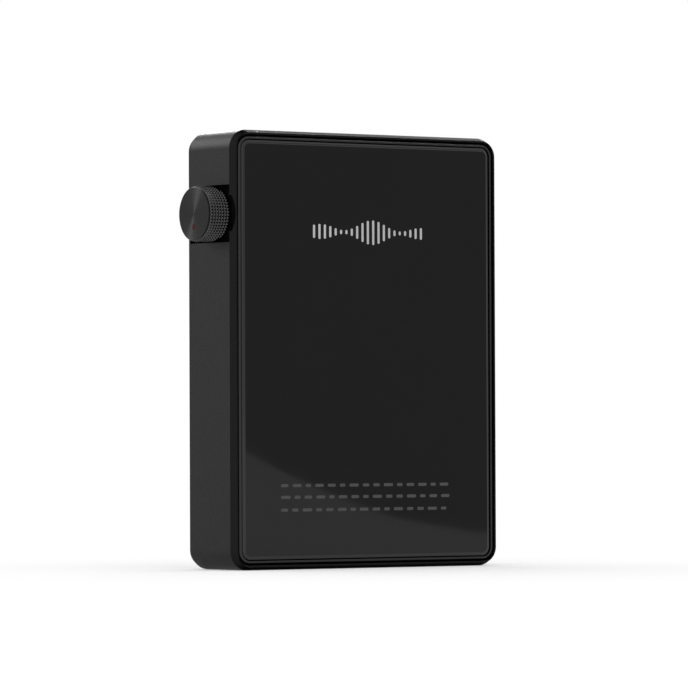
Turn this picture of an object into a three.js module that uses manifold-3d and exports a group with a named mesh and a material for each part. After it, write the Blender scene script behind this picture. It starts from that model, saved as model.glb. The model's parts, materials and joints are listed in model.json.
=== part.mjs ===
// Pocket digital audio player with a side volume knob.
// Millimetres, +Z up. The screen faces -Y, the rear glass faces +Y and the knob is on +X.
// The origin is the middle of the flat bottom face.

import * as THREE from 'three';
import { mergeVertices } from 'three/addons/utils/BufferGeometryUtils.js';
import Module from 'manifold-3d';

const wasm = await Module();
wasm.setup();

// ---------- driving dimensions ----------

const WIDTH = 59.2;
const DEPTH = 15.0;
const HEIGHT = 79.0;
const CORNER = 3.5;            // corner radius of the case outline

const CHAMFER_IN = 0.53;       // edge chamfer: how far it comes in across the face
const CHAMFER_DEEP = 1.27;     // edge chamfer: how far it runs along the side
const RIM = 0.32;              // flat rim between the chamfer and the groove
const GROOVE = 0.28;           // groove between the case and the covers
const WALL = 2.0;
const POCKET_DEEP = 1.6;       // seat of the front glass and of the rear cover

const BEZEL = 0.55;            // visible frame of the rear cover round its glass
const GLASS_GAP = 0.2;
const GLASS_BEVEL = 0.5;       // shallow polished bevel of both glasses, across the face
const GLASS_BEVEL_DEEP = 0.16;

const KNOB_Z = 63.95;
const KNOB_RADIUS = 5.05;
const KNOB_PROUD = 3.45;       // how far the knob's face stands out of the side
const KNOB_IN = 1.1;           // how far the knob reaches into its recess
const RECESS_DEEP = 1.4;
const RECESS_HALF_Z = 5.15;
const SCALLOP_RADIUS = 7.45;   // finger relief cut into both edge chamfers
const SCALLOP_HALF_Z = 3.2;
const SCALLOP_DEEP = 0.65;

const BUTTON_RADIUS = 1.8;     // the three playback buttons on -X
const BUTTON_ZS = { forward: 62, play: 54, rewind: 46 };
const BUTTON_PROUD = 0.45;

const POWER_X = -16;
const POWER_LENGTH = 9;
const POWER_WIDTH = 2.6;
const POWER_PROUD = 0.3;
const HEADPHONE_X = 9;
const OPTICAL_X = -3;
const JACK_BORE = 1.8;         // radius of the 3.5 mm jack's mouth
const JACK_TRIM = 2.9;         // outer radius of the ring round each jack
const JACK_Y = 0.6;

const USB_X = -16;
const USB_Y = 1.2;
const USB_MOUTH_W = 8.0;
const USB_MOUTH_H = 2.9;
const CARD_X = 12;             // middle of the card opening
const CARD_Y = 1.1;
const CARD_OPEN = 14;
const CARD_WIDE = 5.2;
const CARD_TRAVEL = 11;
const CARD_SKIN = 0.7;         // wall left under the sliding cover

const CLEAR = 0.3;             // clearance round pieces that pass through the case
const TOUCH = 0.05;            // gap between pieces that rest on each other
const ROUND = 32;              // facets of a full circle

const HALF_W = WIDTH / 2;
const HALF_D = DEPTH / 2;
const MID_Z = HEIGHT / 2;
const SEAT = CHAMFER_IN + RIM;             // offset of the groove's outer wall
const COVER = SEAT + GROOVE;               // offset of the covers' outline
const LEDGE_Y = HALF_D - POCKET_DEEP;      // where the covers rest, on both sides

// ---------- colours ----------

const paint = (color, roughness, metalness) =>
  new THREE.MeshStandardMaterial({ color, roughness, metalness });

const anodised = paint(0x2b2b2d, 0.45, 0.9);
const polished = paint(0x3a3a3c, 0.2, 0.95);
const glossGlass = paint(0x0b0b0d, 0.05, 0.0);
const blackPlastic = paint(0x161617, 0.5, 0.0);
const steel = paint(0xb8b8b8, 0.3, 1.0);
const brass = paint(0xd2a94a, 0.3, 1.0);
const boardGreen = paint(0x12361f, 0.55, 0.0);
const chipBlack = paint(0x1b1b1d, 0.6, 0.0);
const foil = paint(0x9a9da0, 0.35, 0.8);
const foam = paint(0x2a2a2a, 0.95, 0.0);
const polyimide = paint(0xa8641e, 0.45, 0.0);
const red = paint(0x9c1c1c, 0.5, 0.0);
const white = paint(0xe6e6e2, 0.5, 0.0);
const magnesium = paint(0x6d6f72, 0.5, 0.8);

// ---------- shapes ----------

// Rounded rectangle centred on (0, 0).
function roundedRect(width, height, radius) {
  const x = width / 2 - radius;
  const y = height / 2 - radius;
  const shape = new THREE.Shape();
  shape.absarc(x, y, radius, 0, Math.PI / 2);
  shape.absarc(-x, y, radius, Math.PI / 2, Math.PI);
  shape.absarc(-x, -y, radius, Math.PI, 1.5 * Math.PI);
  shape.absarc(x, -y, radius, 1.5 * Math.PI, 2 * Math.PI);
  shape.closePath();
  return shape;
}

// The case outline drawn in by an offset, in the XZ plane, as a slab from y0 to y1.
function caseSlab(offset, y0, y1, bevelIn = 0, bevelDeep = 0) {
  const radius = Math.max(CORNER - offset, 0.8);
  const outline = roundedRect(WIDTH - 2 * offset, HEIGHT - 2 * offset, radius);
  return slabXZ(outline, y0, y1, 0, MID_Z, bevelIn, bevelDeep);
}

// A shape of the XZ plane extruded along Y, with an optional bevel on both faces.
function slabXZ(outline, y0, y1, x = 0, z = 0, bevelIn = 0, bevelDeep = 0, segments = 7) {
  const geometry = new THREE.ExtrudeGeometry(outline, {
    depth: y1 - y0 - 2 * bevelDeep,
    curveSegments: segments,
    bevelEnabled: bevelIn > 0,
    bevelThickness: bevelDeep,
    bevelSize: bevelIn,
    bevelOffset: -bevelIn,
    bevelSegments: 1,
  });
  geometry.rotateX(Math.PI / 2);
  return geometry.translate(x, y1 - bevelDeep, z);
}

// A shape of the XY plane extruded along Z.
function slabXY(outline, z0, z1, x = 0, y = 0, segments = 7) {
  const options = { depth: z1 - z0, curveSegments: segments, bevelEnabled: false };
  return new THREE.ExtrudeGeometry(outline, options).translate(x, y, z0);
}

function box(x0, x1, y0, y1, z0, z1) {
  const geometry = new THREE.BoxGeometry(x1 - x0, y1 - y0, z1 - z0);
  return geometry.translate((x0 + x1) / 2, (y0 + y1) / 2, (z0 + z1) / 2);
}

// A cylinder from a to b along one axis through the point c; its own coordinate is ignored.
function rod(axis, radius, a, b, c, facets = ROUND) {
  const geometry = new THREE.CylinderGeometry(radius, radius, b - a, facets);
  if (axis === 'x') geometry.rotateZ(-Math.PI / 2);
  if (axis === 'z') geometry.rotateX(Math.PI / 2);
  const place = { x: c[0], y: c[1], z: c[2] };
  place[axis] = (a + b) / 2;
  return geometry.translate(place.x, place.y, place.z);
}

// A turned piece: [radius, height] points that start and end on the axis, or close a ring.
function turned(axis, points, c, facets = ROUND) {
  const profile = points.map(([radius, height]) => new THREE.Vector2(radius, height));
  const geometry = new THREE.LatheGeometry(profile, facets);
  if (axis === 'x') geometry.rotateZ(-Math.PI / 2);
  if (axis === 'z') geometry.rotateX(Math.PI / 2);
  return geometry.translate(...c);
}

function tubeProfile(inner, outer, a, b) {
  return [[inner, a], [outer, a], [outer, b], [inner, b], [inner, a]];
}

// ---------- joining and cutting ----------

function solid(geometry) {
  const bare = geometry.clone();
  bare.deleteAttribute('normal');
  bare.deleteAttribute('uv');
  const merged = mergeVertices(bare, 1e-4);
  return new wasm.Manifold(new wasm.Mesh({
    numProp: 3,
    vertProperties: new Float32Array(merged.attributes.position.array),
    triVerts: new Uint32Array(merged.index.array),
  }));
}

function surface(manifold) {
  const mesh = manifold.getMesh();
  const geometry = new THREE.BufferGeometry();
  geometry.setAttribute('position', new THREE.BufferAttribute(mesh.vertProperties, 3));
  geometry.setIndex(new THREE.BufferAttribute(mesh.triVerts, 1));
  geometry.computeVertexNormals();
  return geometry;
}

function joined(...geometries) {
  return surface(geometries.map(solid).reduce((whole, piece) => whole.add(piece)));
}

function cut(geometry, ...tools) {
  return surface(tools.map(solid).reduce((whole, tool) => whole.subtract(tool), solid(geometry)));
}

const player = new THREE.Group();

function place(name, geometry, material, parent = player) {
  const mesh = new THREE.Mesh(geometry, material);
  mesh.name = name;
  parent.add(mesh);
  return mesh;
}

// ---------- case ----------

const SCREW_X = 24.6;
const SCREW_ZS = [6.2, HEIGHT - 6.2];
const LUG_FRONT = -2.6;
const LUG_REAR = 0.6;
const SCREW_HOLE = 1.05;
const BOSS_X = HALF_W - 3.6;         // inner face of the thick wall behind the knob
const BOSS_HALF_Y = 5.9;
const BOSS_HALF_Z = 7.5;
const LUG_REACH = 2.4;               // how far a screw lug reaches past its hole's middle
const BUSH_RADIUS = 2.8;

function knobRecess() {
  const floor = HALF_W - RECESS_DEEP;
  const flat = HALF_D - CHAMFER_DEEP;
  const mouth = box(floor, HALF_W + 1, -flat, flat, KNOB_Z - RECESS_HALF_Z, KNOB_Z + RECESS_HALF_Z);
  const scallopFloor = HALF_W - SCALLOP_DEEP;
  const scallop = solid(rod('x', SCALLOP_RADIUS, scallopFloor, HALF_W + 1, [0, 0, KNOB_Z], 60));
  const band = solid(box(scallopFloor - 1, HALF_W + 2, -HALF_D, HALF_D,
    KNOB_Z - SCALLOP_HALF_Z, KNOB_Z + SCALLOP_HALF_Z));
  return surface(scallop.intersect(band).add(solid(mouth)));
}

function screwLugs() {
  const lugs = [];
  for (const side of [-1, 1]) {
    for (const z of SCREW_ZS) {
      const outwardX = side * (HALF_W - 1);
      const innerX = side * (SCREW_X - LUG_REACH);
      const outwardZ = z < MID_Z ? 1 : HEIGHT - 1;
      const innerZ = z < MID_Z ? z + LUG_REACH : z - LUG_REACH;
      lugs.push(box(Math.min(outwardX, innerX), Math.max(outwardX, innerX), LUG_FRONT, LUG_REAR,
        Math.min(outwardZ, innerZ), Math.max(outwardZ, innerZ)));
    }
  }
  return lugs;
}

function screwHoles(radius, y0, y1) {
  const holes = [];
  for (const side of [-1, 1]) {
    for (const z of SCREW_ZS) holes.push(rod('y', radius, y0, y1, [side * SCREW_X, 0, z], 20));
  }
  return holes;
}

function slotZ(length, width, z0, z1, x, y) {
  return slabXY(roundedRect(length, width, width / 2 - 0.01), z0, z1, x, y);
}

const CARD_PLATE = 0.6;                       // thickness of the sliding cover
const CARD_LAP = 1.5;                         // how far the cover laps past its opening
const CARD_OPEN_X = [CARD_X - CARD_OPEN / 2, CARD_X + CARD_OPEN / 2];
const CARD_COVER_X = [CARD_OPEN_X[0] - CARD_LAP, CARD_OPEN_X[1] + CARD_LAP];
const CARD_COVER_HALF_Y = CARD_WIDE / 2 + 0.8;
const GUIDE_Z = CARD_SKIN + CARD_PLATE + 2 * TOUCH;

// A box between two X values, centred on the card slots' middle plane.
function cardBox([x0, x1], halfY, z0, z1) {
  return box(x0, x1, CARD_Y - halfY, CARD_Y + halfY, z0, z1);
}

function caseShell() {
  let shell = solid(caseSlab(0, -HALF_D, HALF_D, CHAMFER_IN, CHAMFER_DEEP));
  shell = shell.subtract(solid(caseSlab(WALL, -HALF_D - 1, HALF_D + 1)));
  const boss = box(BOSS_X, HALF_W - 1, -BOSS_HALF_Y, BOSS_HALF_Y,
    KNOB_Z - BOSS_HALF_Z, KNOB_Z + BOSS_HALF_Z);
  for (const piece of [boss, ...screwLugs()]) shell = shell.add(solid(piece));

  const cuts = [
    caseSlab(SEAT, LEDGE_Y, HALF_D + 1),
    caseSlab(SEAT, -HALF_D - 1, -LEDGE_Y),
    knobRecess(),
    rod('x', BUSH_RADIUS + CLEAR, BOSS_X - 1, HALF_W, [0, 0, KNOB_Z]),
    ...screwHoles(SCREW_HOLE, LUG_FRONT - 1, LUG_REAR + 1),
    slotZ(POWER_LENGTH + 2 * CLEAR, POWER_WIDTH + 2 * CLEAR, HEIGHT - 3, HEIGHT + 1, POWER_X, 0),
    rod('z', JACK_TRIM + CLEAR, HEIGHT - 3, HEIGHT + 1, [HEADPHONE_X, JACK_Y, 0]),
    rod('z', JACK_TRIM + CLEAR, HEIGHT - 3, HEIGHT + 1, [OPTICAL_X, JACK_Y, 0]),
    slotZ(USB_MOUTH_W + 2 * CLEAR, USB_MOUTH_H + 2 * CLEAR, -1, WALL + 1, USB_X, USB_Y),
    cardBox(CARD_OPEN_X, CARD_WIDE / 2, -1, WALL + 1),
    cardBox([CARD_COVER_X[0] - CARD_TRAVEL - CLEAR, CARD_COVER_X[1] + CLEAR], CARD_COVER_HALF_Y + CLEAR,
      CARD_SKIN, WALL + 1),
    ...Object.values(BUTTON_ZS).map(
      (z) => rod('x', BUTTON_RADIUS + CLEAR, -HALF_W - 1, -HALF_W + 3, [0, 0, z])),
  ];
  for (const tool of cuts) shell = shell.subtract(solid(tool));
  return surface(shell);
}

place('case_shell', caseShell(), anodised);

// ---------- rear: cover, adhesive, glass ----------

const GLASS_SEAT = COVER + BEZEL;
const FACE_SUNK = 0.05;                       // how far the covers lie below the rims
const REAR_TOP = HALF_D - FACE_SUNK;
const REAR_FLOOR = HALF_D - 1.0;
const COVER_EDGE = 0.12;

place('rear_cover', cut(
  caseSlab(COVER, LEDGE_Y + TOUCH, REAR_TOP, COVER_EDGE, COVER_EDGE),
  caseSlab(GLASS_SEAT, REAR_FLOOR, HALF_D + 1),
), polished);
place('rear_adhesive', caseSlab(GLASS_SEAT + 0.6, REAR_FLOOR + TOUCH, REAR_FLOOR + 0.15), foam);
place('rear_glass', caseSlab(GLASS_SEAT + GLASS_GAP, REAR_FLOOR + 0.2, REAR_TOP,
  GLASS_BEVEL, GLASS_BEVEL_DEEP), glossGlass);

// ---------- front: glass, gasket, display ----------

const FRONT_FACE = -(HALF_D - FACE_SUNK);
const FRONT_GLASS_BACK = -6.35;
const LCD_W = 42.6;
const LCD_H = 58.4;
const LCD_Z = 43.4;
const LCD_FRONT = -6.25;
const LCD_BACK = -4.75;
const LIGHT_BACK = -3.65;
const LIGHT_IN = 0.4;

place('front_glass', caseSlab(COVER, FRONT_FACE, FRONT_GLASS_BACK, GLASS_BEVEL, GLASS_BEVEL_DEEP),
  glossGlass);
place('front_gasket', cut(
  caseSlab(COVER, FRONT_GLASS_BACK + TOUCH, -LEDGE_Y - TOUCH),
  caseSlab(WALL + 1.6, -HALF_D, 0),
), foam);
place('display_panel', box(-LCD_W / 2, LCD_W / 2, LCD_FRONT, LCD_BACK,
  LCD_Z - LCD_H / 2, LCD_Z + LCD_H / 2), chipBlack);
place('display_backlight', box(LIGHT_IN - LCD_W / 2, LCD_W / 2 - LIGHT_IN, LCD_BACK + TOUCH, LIGHT_BACK,
  LCD_Z - LCD_H / 2 + LIGHT_IN, LCD_Z + LCD_H / 2 - LIGHT_IN), white);

// ---------- middle frame and its screws ----------

const FRAME_FRONT = -3.55;
const FRAME_BACK = LUG_FRONT - TOUCH;
const FRAME_GAP = WALL + 0.4;
const ENCODER_IN = 21.9;
const RIBBON_X = [-9.5, 2.5];
const RIBBON_Z = 10.4;

place('mid_frame', cut(
  caseSlab(FRAME_GAP, FRAME_FRONT, FRAME_BACK),
  box(ENCODER_IN, HALF_W, -HALF_D, HALF_D, KNOB_Z - 8.2, KNOB_Z + 8.2),
  cardBox([CARD_COVER_X[0] - CARD_TRAVEL - 1.5, CARD_COVER_X[1] + 1.5], HALF_D, 0, 4.2),
  box(-HALF_W, -24.2, -HALF_D, HALF_D, 41.5, 66.5),
  box(RIBBON_X[0] - 1, RIBBON_X[1] + 1, -HALF_D, HALF_D, RIBBON_Z - 0.9, RIBBON_Z + 1.8),
  ...screwHoles(1.3, FRAME_FRONT - 1, FRAME_BACK + 1),
), magnesium);

const SCREW_LENGTH = 3.4;
const SCREW_SPOTS = { lower_left: [-1, 0], upper_left: [-1, 1], lower_right: [1, 0], upper_right: [1, 1] };

function screw(head, headHeight, shank, length) {
  const profile = [[0, 0], [shank, 0], [shank, length], [head, length],
    [head, length + headHeight], [0.5, length + headHeight],
    [0.35, length + headHeight - 0.3], [0, length + headHeight - 0.3]];
  return turned('y', profile, [0, 0, 0], 20);
}

for (const [corner, [side, row]] of Object.entries(SCREW_SPOTS)) {
  const mesh = place(`frame_screw_${corner}`, screw(1.7, 0.55, 0.75, SCREW_LENGTH), steel);
  mesh.rotation.x = Math.PI;
  mesh.position.set(side * SCREW_X, FRAME_FRONT - TOUCH + SCREW_LENGTH, SCREW_ZS[row]);
}

// ---------- main board ----------

const BOARD_FRONT = 3.5;
const BOARD_BACK = 4.3;
const BOARD_TOP_Z = [47.5, 76.2];
const BOARD_FOOT_Z = [2.7, 15.5];
const BOARD_HALF = 21.6;

const boardOutline = new THREE.Shape();
boardOutline.moveTo(-BOARD_HALF, BOARD_FOOT_Z[0]);
boardOutline.lineTo(BOARD_HALF, BOARD_FOOT_Z[0]);
boardOutline.lineTo(BOARD_HALF, BOARD_FOOT_Z[1]);
boardOutline.lineTo(-15, BOARD_FOOT_Z[1]);
boardOutline.lineTo(-15, BOARD_TOP_Z[0]);
boardOutline.lineTo(BOARD_HALF, BOARD_TOP_Z[0]);
boardOutline.lineTo(BOARD_HALF, BOARD_TOP_Z[1]);
boardOutline.lineTo(-BOARD_HALF, BOARD_TOP_Z[1]);
boardOutline.closePath();
place('main_board', slabXZ(boardOutline, BOARD_FRONT, BOARD_BACK), boardGreen);

// Chips on the rear side of the board: [name, x, z, width, height, thickness].
const CHIPS = [
  ['processor_chip', -10, 57, 11, 11, 1.1],
  ['memory_chip', 3.5, 57, 10, 12, 0.9],
  ['converter_chip', 15.5, 54, 6, 6, 0.9],
  ['power_chip', -18.3, 36, 4.6, 4.6, 0.8],
];
for (const [name, x, z, wide, high, thick] of CHIPS) {
  place(name, box(x - wide / 2, x + wide / 2, BOARD_BACK + TOUCH, BOARD_BACK + thick,
    z - high / 2, z + high / 2), chipBlack);
}

place('clock_crystal', box(13.9, 17.1, BOARD_BACK + TOUCH, BOARD_BACK + 0.9, 60.4, 62.9), foil);

const CAN_BACK = BOARD_FRONT - TOUCH;
const CAN_FRONT = 1.4;
place('shield_can', cut(
  box(-16, 8.5, CAN_FRONT, CAN_BACK, 49, 62),
  box(-15.7, 8.2, CAN_FRONT + 0.3, CAN_BACK + 1, 49.3, 61.7),
), foil);

// ---------- battery ----------

const CELL = { x0: -13.8, x1: 26.4, y0: -1.6, y1: 4.9, z0: 17, z1: 45.5 };
const cellOutline = roundedRect(CELL.x1 - CELL.x0, CELL.y1 - CELL.y0, 1.4);
place('battery_cell', slabXY(cellOutline, CELL.z0, CELL.z1,
  (CELL.x0 + CELL.x1) / 2, (CELL.y0 + CELL.y1) / 2, 5), foil);
place('battery_pad', box(CELL.x0 + 2, CELL.x1 - 2, FRAME_BACK + TOUCH, CELL.y0 - TOUCH,
  CELL.z0 + 2, CELL.z1 - 2), foam);
place('battery_lead', box(-20.2, CELL.x0 - TOUCH, 1.6, 2.0, 38, 43), polyimide);
place('battery_connector', box(-20.2, -15.6, 2.05, BOARD_FRONT - TOUCH, 38, 43), white);

// ---------- top: power button, jacks ----------

function jackTrim(x) {
  const top = HEIGHT - FACE_SUNK;
  const inner = JACK_BORE + 0.15;
  return turned('z', [
    [inner, HEIGHT - WALL], [JACK_TRIM, HEIGHT - WALL], [JACK_TRIM, top - 0.15],
    [JACK_TRIM - 0.15, top], [inner + 0.25, top], [inner, top - 0.3], [inner, HEIGHT - WALL],
  ], [x, JACK_Y, 0], 28);
}

function jackBody(x) {
  const top = HEIGHT - WALL - TOUCH;
  const block = box(x - 3, x + 3, BOARD_FRONT - 5.6, BOARD_FRONT - TOUCH, top - 12.5, top);
  return cut(block, rod('z', JACK_BORE, top - 11.2, top + 1, [x, JACK_Y, 0], 24));
}

for (const [name, x] of [['headphone', HEADPHONE_X], ['optical', OPTICAL_X]]) {
  place(`${name}_jack`, jackBody(x), blackPlastic);
  place(`${name}_trim_ring`, jackTrim(x), polished);
}

const POWER_TRAVEL = 0.3;
place('power_button', joined(
  slotZ(POWER_LENGTH, POWER_WIDTH, HEIGHT - WALL - 0.4, HEIGHT + POWER_PROUD, POWER_X, 0),
  box(POWER_X - POWER_LENGTH / 2 - 0.6, POWER_X + POWER_LENGTH / 2 + 0.6, -2.0, 2.0,
    HEIGHT - WALL - 1.0, HEIGHT - WALL - 0.35),
), anodised);
place('power_switch', joined(
  box(POWER_X - 2.3, POWER_X + 2.3, -1.7, 1.7, HEIGHT - WALL - 3.4, HEIGHT - WALL - 1.7),
  rod('z', 0.9, HEIGHT - WALL - 1.8, HEIGHT - WALL - 1.05 - POWER_TRAVEL, [POWER_X, 0, 0], 20),
), steel);
place('power_bracket', box(POWER_X - 3.2, POWER_X + 3.2, -2.3, BOARD_FRONT - TOUCH,
  HEIGHT - WALL - 4.3, HEIGHT - WALL - 3.45), steel);

// ---------- knob side ----------

const FACE_X = HALF_W + KNOB_PROUD;
const KNOB_BACK = HALF_W - KNOB_IN;
const CAP_THICK = 0.15;
const CAP_RADIUS = 4.88;
const CAP_GROOVE = 0.22;
const KNURL_END = FACE_X - CAP_THICK - CAP_GROOVE;
const DOT_RADIUS = 0.45;
const DOT_DROP = 2.35;
const DOT_DEEP = 0.1;
const RECESS_FLOOR = HALF_W - RECESS_DEEP;

place('encoder_body', cut(
  box(ENCODER_IN + 0.3, BOSS_X - TOUCH, -5.2, 5.2, KNOB_Z - 5.6, KNOB_Z + 5.6),
  rod('x', 1.9, ENCODER_IN + 1.6, HALF_W, [0, 0, KNOB_Z], 24),
), steel);
place('encoder_bush', turned('x',
  tubeProfile(1.8, BUSH_RADIUS, BOSS_X, RECESS_FLOOR + 1.6), [0, 0, KNOB_Z]), brass);
place('encoder_nut', cut(
  rod('x', 3.7, RECESS_FLOOR + TOUCH, RECESS_FLOOR + 1.5, [0, 0, KNOB_Z], 6),
  rod('x', BUSH_RADIUS + 0.1, RECESS_FLOOR - 1, RECESS_FLOOR + 3, [0, 0, KNOB_Z]),
), steel);

const volume = new THREE.Group();
volume.position.set(0, 0, KNOB_Z);
player.add(volume);

place('volume_shaft', turned('x', [[0, ENCODER_IN + 1.9], [1.5, ENCODER_IN + 1.9],
  [1.5, KNURL_END - 1.0], [0, KNURL_END - 1.0]], [0, 0, 0], 24), steel, volume);
place('volume_knob', turned('x', [
  [0, KNURL_END - 0.6], [1.8, KNURL_END - 0.6], [1.8, KNURL_END - 1.9], [4.15, KNURL_END - 1.9],
  [4.15, KNOB_BACK], [KNOB_RADIUS - 0.2, KNOB_BACK], [KNOB_RADIUS, KNOB_BACK + 0.2],
  [KNOB_RADIUS, KNURL_END - 0.2], [KNOB_RADIUS - 0.2, KNURL_END], [0, KNURL_END],
], [0, 0, 0], 48), anodised, volume);
place('knob_cap', cut(
  turned('x', [
    [0, KNURL_END + TOUCH], [4.35, KNURL_END + TOUCH], [4.35, KNURL_END + CAP_GROOVE],
    [CAP_RADIUS, KNURL_END + CAP_GROOVE], [CAP_RADIUS, FACE_X - 0.08], [CAP_RADIUS - 0.08, FACE_X],
    [0, FACE_X],
  ], [0, 0, 0], 48),
  rod('x', DOT_RADIUS + TOUCH, FACE_X - DOT_DEEP - TOUCH, FACE_X + 1, [0, 0, -DOT_DROP], 20),
), polished, volume);
place('knob_dot', rod('x', DOT_RADIUS, FACE_X - DOT_DEEP, FACE_X, [0, 0, -DOT_DROP], 20), red, volume);

// ---------- playback buttons on the other side ----------

const BUTTON_INNER = -HALF_W + WALL;
const BUTTON_TRAVEL = 0.35;
const SWITCH_TIP = BUTTON_INNER + 1.0 + TOUCH + BUTTON_TRAVEL;

for (const [name, z] of Object.entries(BUTTON_ZS)) {
  place(`${name}_button`, turned('x', [
    [0, -HALF_W - BUTTON_PROUD], [BUTTON_RADIUS - 0.3, -HALF_W - BUTTON_PROUD],
    [BUTTON_RADIUS, -HALF_W - BUTTON_PROUD + 0.3], [BUTTON_RADIUS, BUTTON_INNER + 0.4],
    [BUTTON_RADIUS + 0.7, BUTTON_INNER + 0.4], [BUTTON_RADIUS + 0.7, BUTTON_INNER + 1.0],
    [0, BUTTON_INNER + 1.0],
  ], [0, 0, z], 28), anodised);
  place(`${name}_switch`, joined(
    box(SWITCH_TIP + 0.4, SWITCH_TIP + 1.6, -1.8, 1.8, z - 2.2, z + 2.2),
    rod('x', 0.8, SWITCH_TIP, SWITCH_TIP + 0.5, [0, 0, z], 20),
  ), steel);
}
const FLEX_X = SWITCH_TIP + 1.65;
place('button_flex', box(FLEX_X, FLEX_X + 0.3, -2.2, 2.6, BUTTON_ZS.rewind - 3.4,
  BUTTON_ZS.forward + 3.4), polyimide);

// ---------- bottom: USB socket, card sockets, sliding cover ----------

place('usb_socket', cut(
  box(USB_X - 4.2, USB_X + 4.2, USB_Y - 1.7, USB_Y + 1.7, WALL + TOUCH, WALL + 7.2),
  box(USB_X - 3.6, USB_X + 3.6, USB_Y - 1.1, USB_Y + 1.1, WALL - 1, WALL + 6.2),
), steel);
place('usb_tongue', box(USB_X - 2.4, USB_X + 2.4, USB_Y + 0.1, USB_Y + 0.7,
  WALL + 1.2, WALL + 6.1), blackPlastic);

const SOCKET_Z = GUIDE_Z + 1.3;
for (const [name, y] of [['front', CARD_Y - 1.3], ['rear', CARD_Y + 1.3]]) {
  place(`card_socket_${name}`, cut(
    box(CARD_X - 7, CARD_X + 7, y - 1.0, y + 1.0, SOCKET_Z, SOCKET_Z + 12),
    box(CARD_X - 5.8, CARD_X + 5.8, y - 0.5, y + 0.5, SOCKET_Z - 1, SOCKET_Z + 10.8),
  ), steel);
}
place('card_guide', cut(
  cardBox([CARD_COVER_X[0] - CARD_TRAVEL - 1.2, CARD_COVER_X[1] + 1.2], CARD_COVER_HALF_Y + 1,
    WALL + TOUCH, SOCKET_Z - TOUCH),
  cardBox(CARD_OPEN_X, CARD_WIDE / 2, 0, 9),
), blackPlastic);
place('card_cover', joined(
  cardBox(CARD_COVER_X, CARD_COVER_HALF_Y, CARD_SKIN + TOUCH, CARD_SKIN + TOUCH + CARD_PLATE),
  cardBox([CARD_OPEN_X[1] - 2.1, CARD_OPEN_X[1] - 0.4], CARD_WIDE / 2 - CLEAR, 0.15, CARD_SKIN + 0.2),
), anodised);

// ---------- display ribbon ----------

const LCD_FOOT = LCD_Z - LCD_H / 2;
place('display_ribbon', joined(
  box(...RIBBON_X, LCD_BACK + 0.1, LCD_BACK + 0.4, RIBBON_Z, LCD_FOOT + 0.4 - TOUCH),
  box(...RIBBON_X, LCD_BACK + 0.1, BOARD_FRONT - 0.3, RIBBON_Z, RIBBON_Z + 0.3),
), polyimide);
place('ribbon_connector', box(RIBBON_X[0] + 0.5, RIBBON_X[1] - 0.5, BOARD_FRONT - 1.3, BOARD_FRONT - TOUCH,
  RIBBON_Z + 0.3 + TOUCH, RIBBON_Z + 3), white);

export default player;
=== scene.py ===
"""Looks of a pocket digital audio player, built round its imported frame.

Metres, +Z up. The screen faces -Y, the rear glass +Y and the volume knob +X.
"""

import json
import math

import bmesh
import bpy
from mathutils import Matrix, Vector


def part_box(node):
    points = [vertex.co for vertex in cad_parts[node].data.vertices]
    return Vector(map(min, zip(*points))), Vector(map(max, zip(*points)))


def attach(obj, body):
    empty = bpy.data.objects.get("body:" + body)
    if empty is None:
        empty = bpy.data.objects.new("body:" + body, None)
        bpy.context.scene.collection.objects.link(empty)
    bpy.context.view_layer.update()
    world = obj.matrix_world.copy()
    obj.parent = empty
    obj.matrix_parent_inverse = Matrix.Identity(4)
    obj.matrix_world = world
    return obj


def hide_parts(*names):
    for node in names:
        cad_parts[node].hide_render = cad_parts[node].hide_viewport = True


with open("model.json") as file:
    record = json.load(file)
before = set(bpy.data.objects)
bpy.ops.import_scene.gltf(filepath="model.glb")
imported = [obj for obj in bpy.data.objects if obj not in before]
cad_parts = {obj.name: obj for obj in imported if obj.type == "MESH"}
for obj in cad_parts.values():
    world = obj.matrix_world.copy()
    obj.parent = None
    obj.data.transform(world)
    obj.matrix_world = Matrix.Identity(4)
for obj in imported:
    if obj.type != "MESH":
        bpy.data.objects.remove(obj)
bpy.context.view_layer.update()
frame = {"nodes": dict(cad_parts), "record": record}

MM = 0.001

# ---------- sizes read from the frame ----------

CASE_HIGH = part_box("case_shell")[1]
HALF_W = CASE_HIGH.x
HALF_D = CASE_HIGH.y
HEIGHT = CASE_HIGH.z
MID_Z = HEIGHT / 2
KNOB_LOW, KNOB_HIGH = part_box("volume_knob")
CAP_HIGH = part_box("knob_cap")[1]
KNOB_Z = (KNOB_LOW.z + KNOB_HIGH.z) / 2
GLASS_LOW, GLASS_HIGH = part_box("rear_glass")
COVER_LOW, COVER_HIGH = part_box("rear_cover")
FRONT_LOW, FRONT_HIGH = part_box("front_glass")

CORNER = 3.5 * MM
CHAMFER_IN = 0.53 * MM
CHAMFER_DEEP = 1.27 * MM
SEAT = 0.85 * MM
WALL = 2.0 * MM
COVER = HALF_W - COVER_HIGH.x
GLASS = HALF_W - GLASS_HIGH.x
POCKET_DEEP = 1.6 * MM
ARC_STEPS = 20


# ---------- camera ----------

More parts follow.
